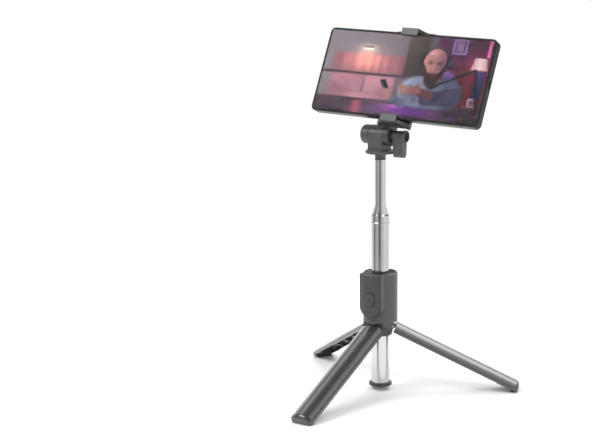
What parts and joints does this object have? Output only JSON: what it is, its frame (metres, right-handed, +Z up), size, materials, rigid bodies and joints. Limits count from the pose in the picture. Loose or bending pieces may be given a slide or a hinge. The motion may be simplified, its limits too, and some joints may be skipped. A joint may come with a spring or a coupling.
{
  "type": "phone stand",
  "caption": "Telescopic pole stand with folding legs, a slide-out remote and a tilting clamp that holds a phone on its side.",
  "frame": {"origin": "on the floor, on the pole's axis", "axes": "+Z up along the pole; -Y is the front, with the remote, one leg and the screen; +X is to the right seen from the front"},
  "size_m": [0.2205, 0.1966, 0.3194],
  "materials": {
    "handle_plastic": "fine satin moulded",
    "cap_plastic": "fine satin moulded",
    "hub_plastic": "satin moulded",
    "leg_plastic": "semi-gloss moulded",
    "remote_plastic": "fine satin moulded",
    "button_rubber": "soft touch",
    "led_lens": "smoked",
    "board_green": "circuit board",
    "tube_steel": "polished, drawn lengthwise",
    "guide_nylon": "nylon",
    "end_plastic": "satin moulded",
    "foot_rubber": "matt rubber",
    "pad_rubber": "matt rubber",
    "sleeve_rubber": "matt rubber",
    "pin_steel": "turned",
    "head_plastic": "satin moulded",
    "lever_plastic": "satin moulded",
    "clamp_plastic": "satin moulded",
    "bracket_plastic": "satin moulded",
    "nut_steel": "black oxide",
    "spring_steel": "drawn wire",
    "phone_metal": "anodised, bead blasted",
    "phone_key_metal": "anodised",
    "phone_cover_glass": "polished",
    "phone_rear_glass": "frosted glass look",
    "display_panel": "lit screen",
    "battery_foil": "pouch",
    "lens_glass": "coated",
    "port_metal": "plated",
    "bush_plastic": "acetal"
  },
  "bodies": {
    "handle": {"handle_shell": "handle_plastic", "handle_top_cap": "cap_plastic", "leg_hub": "hub_plastic", "upper_bush": "bush_plastic", "friction_sleeve": "sleeve_rubber", "leg_pin_front": "pin_steel", "leg_pin_right": "pin_steel", "leg_pin_left": "pin_steel"},
    "leg_front": {"leg_front": "leg_plastic", "foot_pad_front": "foot_rubber"},
    "leg_right": {"leg_right": "leg_plastic", "foot_pad_right": "foot_rubber"},
    "leg_left": {"leg_left": "leg_plastic", "foot_pad_left": "foot_rubber"},
    "tube_1": {"tube_1": "tube_steel", "crimp_pin": "pin_steel", "end_plug": "end_plastic"},
    "tube_2": {"tube_2": "tube_steel", "guide_2": "guide_nylon"},
    "tube_3": {"tube_3": "tube_steel", "guide_3": "guide_nylon"},
    "tube_4": {"tube_4": "tube_steel", "guide_4": "guide_nylon"},
    "tube_5": {"tube_5": "tube_steel", "guide_5": "guide_nylon", "neck_post": "head_plastic"},
    "head": {"head_base": "head_plastic", "knob_washer": "bush_plastic", "end_knob": "head_plastic", "hinge_bolt": "pin_steel"},
    "lever": {"thumb_lever": "lever_plastic", "lever_washer": "bush_plastic", "lever_nut": "nut_steel"},
    "bracket": {"tilt_bracket": "bracket_plastic", "swivel_screw": "pin_steel", "swivel_cover": "bush_plastic"},
    "clamp": {"clamp_housing": "clamp_plastic", "back_pad": "pad_rubber", "lower_jaw": "clamp_plastic", "lower_pad": "pad_rubber", "jaw_springs": "spring_steel"},
    "jaw": {"upper_jaw": "clamp_plastic", "upper_pad": "pad_rubber", "guide_rods": "pin_steel"},
    "phone": {"phone_frame": "phone_metal", "phone_keys": "phone_key_metal", "phone_port": "port_metal", "phone_glass": "phone_cover_glass", "phone_back": "phone_rear_glass", "phone_display": "display_panel", "phone_battery": "battery_foil", "camera_bump": "phone_metal", "camera_lenses": "lens_glass"},
    "remote": {"remote_shell": "remote_plastic", "remote_led": "led_lens", "remote_board": "board_green"},
    "button": {"remote_button": "button_rubber"}
  },
  "joints": [
    {"name": "pole_slide", "type": "slide", "parent": "handle", "child": "tube_1", "axis": [0, 0, 1], "range_m": [-0.044, 0.0435]},
    {"name": "section_2_slide", "type": "slide", "parent": "tube_1", "child": "tube_2", "axis": [0, 0, 1], "range_m": [0, 0.11]},
    {"name": "section_3_slide", "type": "slide", "parent": "tube_2", "child": "tube_3", "axis": [0, 0, 1], "range_m": [0, 0.11]},
    {"name": "section_4_slide", "type": "slide", "parent": "tube_3", "child": "tube_4", "axis": [0, 0, 1], "range_m": [0, 0.11]},
    {"name": "section_5_slide", "type": "slide", "parent": "tube_4", "child": "tube_5", "axis": [0, 0, 1], "range_m": [-0.038, 0.07]},
    {"name": "leg_front_fold", "type": "hinge", "parent": "handle", "child": "leg_front", "pos_m": [-0.00039, -0.01129, 0.0586], "axis": [0.9994, -0.0349, 0], "range_deg": [0, 63.9]},
    {"name": "leg_right_fold", "type": "hinge", "parent": "handle", "child": "leg_right", "pos_m": [0.00998, 0.0053, 0.0586], "axis": [-0.4695, 0.8829, 0], "range_deg": [0, 63.9]},
    {"name": "leg_left_fold", "type": "hinge", "parent": "handle", "child": "leg_left", "pos_m": [-0.00958, 0.00599, 0.0586], "axis": [-0.5299, -0.848, 0], "range_deg": [0, 63.9]},
    {"name": "remote_slide", "type": "slide", "parent": "handle", "child": "remote", "axis": [0, 0, 1], "range_m": [0, 0.062]},
    {"name": "button_press", "type": "slide", "parent": "remote", "child": "button", "axis": [0, 1, 0], "range_m": [0, 0.0008], "stiffness_N_per_m": 1500},
    {"name": "head_pan", "type": "hinge", "parent": "tube_5", "child": "head", "pos_m": [0, 0, 0.212], "axis": [0, 0, 1], "continuous": true},
    {"name": "head_tilt", "type": "hinge", "parent": "head", "child": "bracket", "pos_m": [0, 0, 0.2275], "axis": [-1, 0, 0], "range_deg": [-69, 66]},
    {"name": "lever_turn", "type": "hinge", "parent": "head", "child": "lever", "pos_m": [0.018, 0, 0.2275], "axis": [1, 0, 0], "range_deg": [-35, 35]},
    {"name": "clamp_roll", "type": "hinge", "parent": "bracket", "child": "clamp", "pos_m": [0.01917, 0.00689, 0.25132], "axis": [0, -0.9143, 0.4051], "range_deg": [0, 92.34]},
    {"name": "jaw_slide", "type": "slide", "parent": "clamp", "child": "jaw", "axis": [0.0408, 0.4048, 0.9135], "range_m": [0, 0.013], "stiffness_N_per_m": 150, "springref_m": -0.02},
    {"name": "phone_slide", "type": "slide", "parent": "clamp", "child": "phone", "axis": [-0.9992, 0.0165, 0.0373], "range_m": [0, 0.115]}
  ]
}
